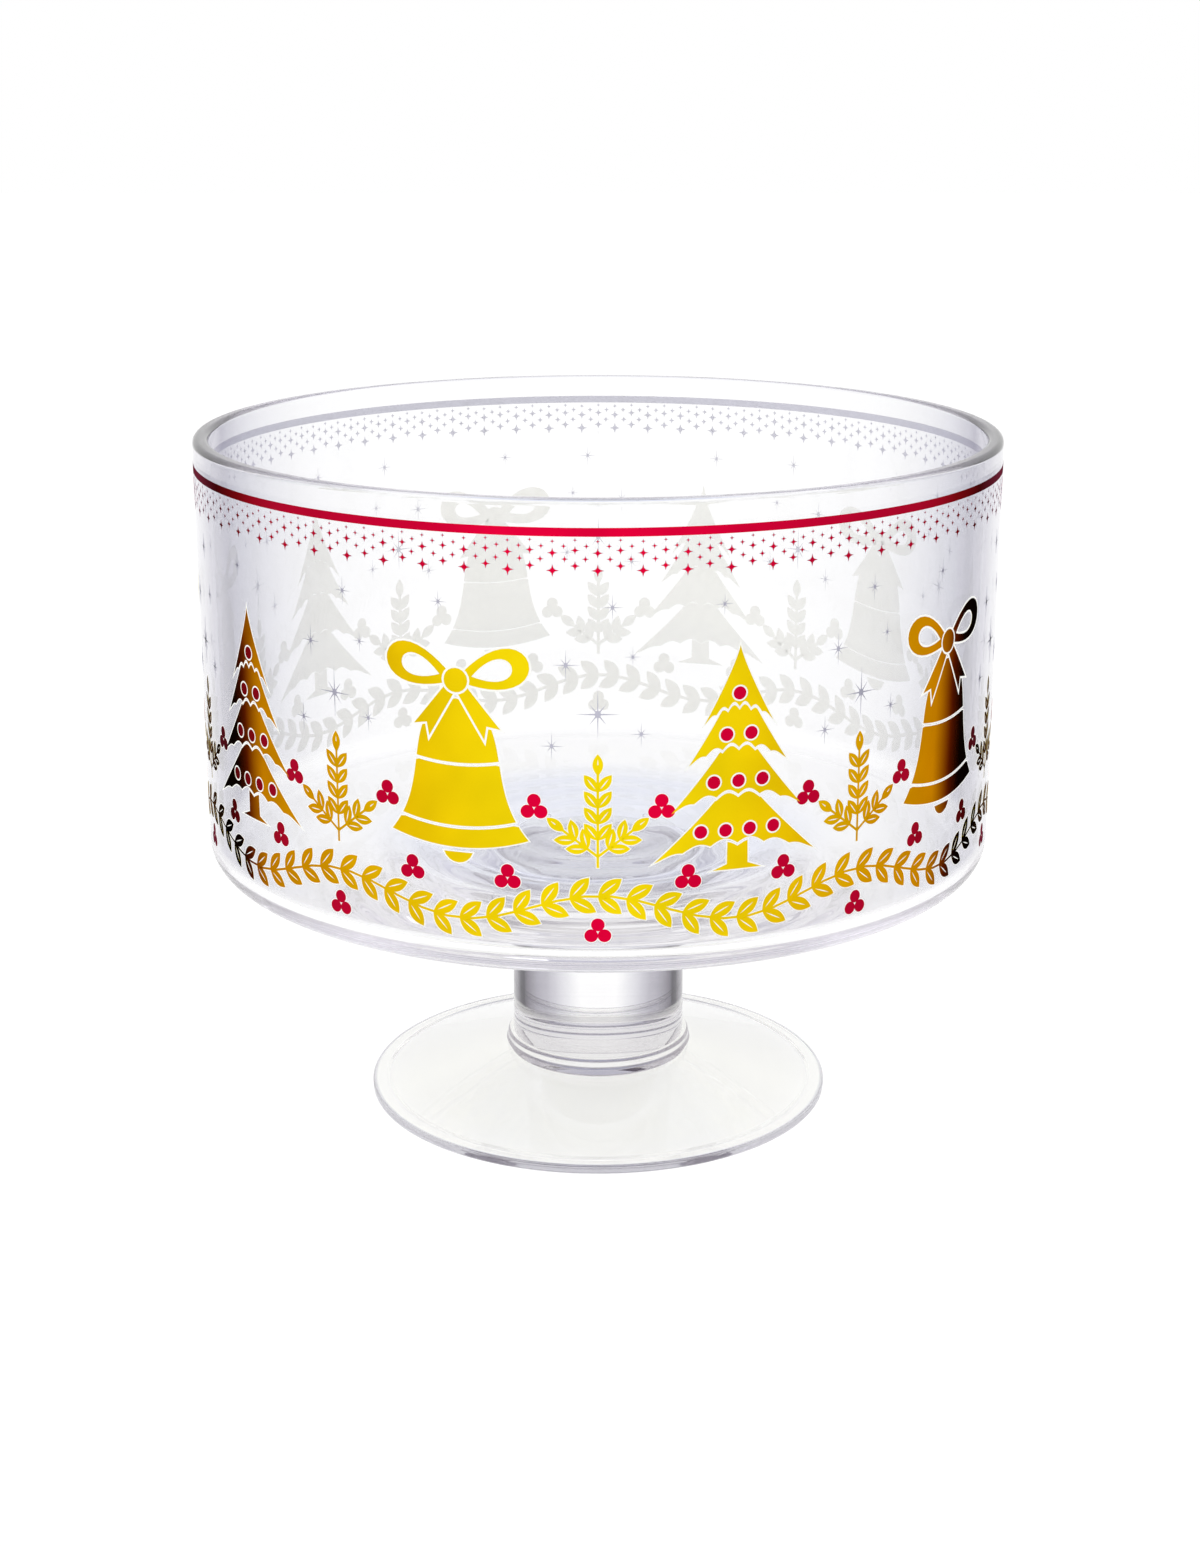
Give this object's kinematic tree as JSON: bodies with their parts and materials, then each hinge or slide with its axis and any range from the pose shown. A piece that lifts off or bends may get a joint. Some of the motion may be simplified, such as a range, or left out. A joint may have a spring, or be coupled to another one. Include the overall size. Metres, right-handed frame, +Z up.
{
  "type": "trifle bowl",
  "caption": "Clear glass trifle bowl: straight-sided vessel on a solid stem and round foot, with a red band and gold, red and silver decoration.",
  "frame": {"origin": "centre of the foot's underside, on the surface the bowl stands on", "axes": "+Z up along the bowl's axis, -Y towards the front as pictured"},
  "size_m": [0.2106, 0.2106, 0.1838],
  "materials": {
    "clear_glass": "fire-polished pressed glass",
    "red_enamel": "fired glossy enamel",
    "gold_transfer": "fired satin gold",
    "silver_transfer": "fired satin silver"
  },
  "bodies": {
    "root": {"foot": "clear_glass", "stem": "clear_glass", "bowl": "clear_glass", "red_rim_band": "red_enamel", "red_star_border": "red_enamel", "gold_fir_trees": "gold_transfer", "gold_bells": "gold_transfer", "gold_garland": "gold_transfer", "gold_sprigs": "gold_transfer", "red_berries": "red_enamel", "silver_stars": "silver_transfer"}
  },
  "joints": []
}
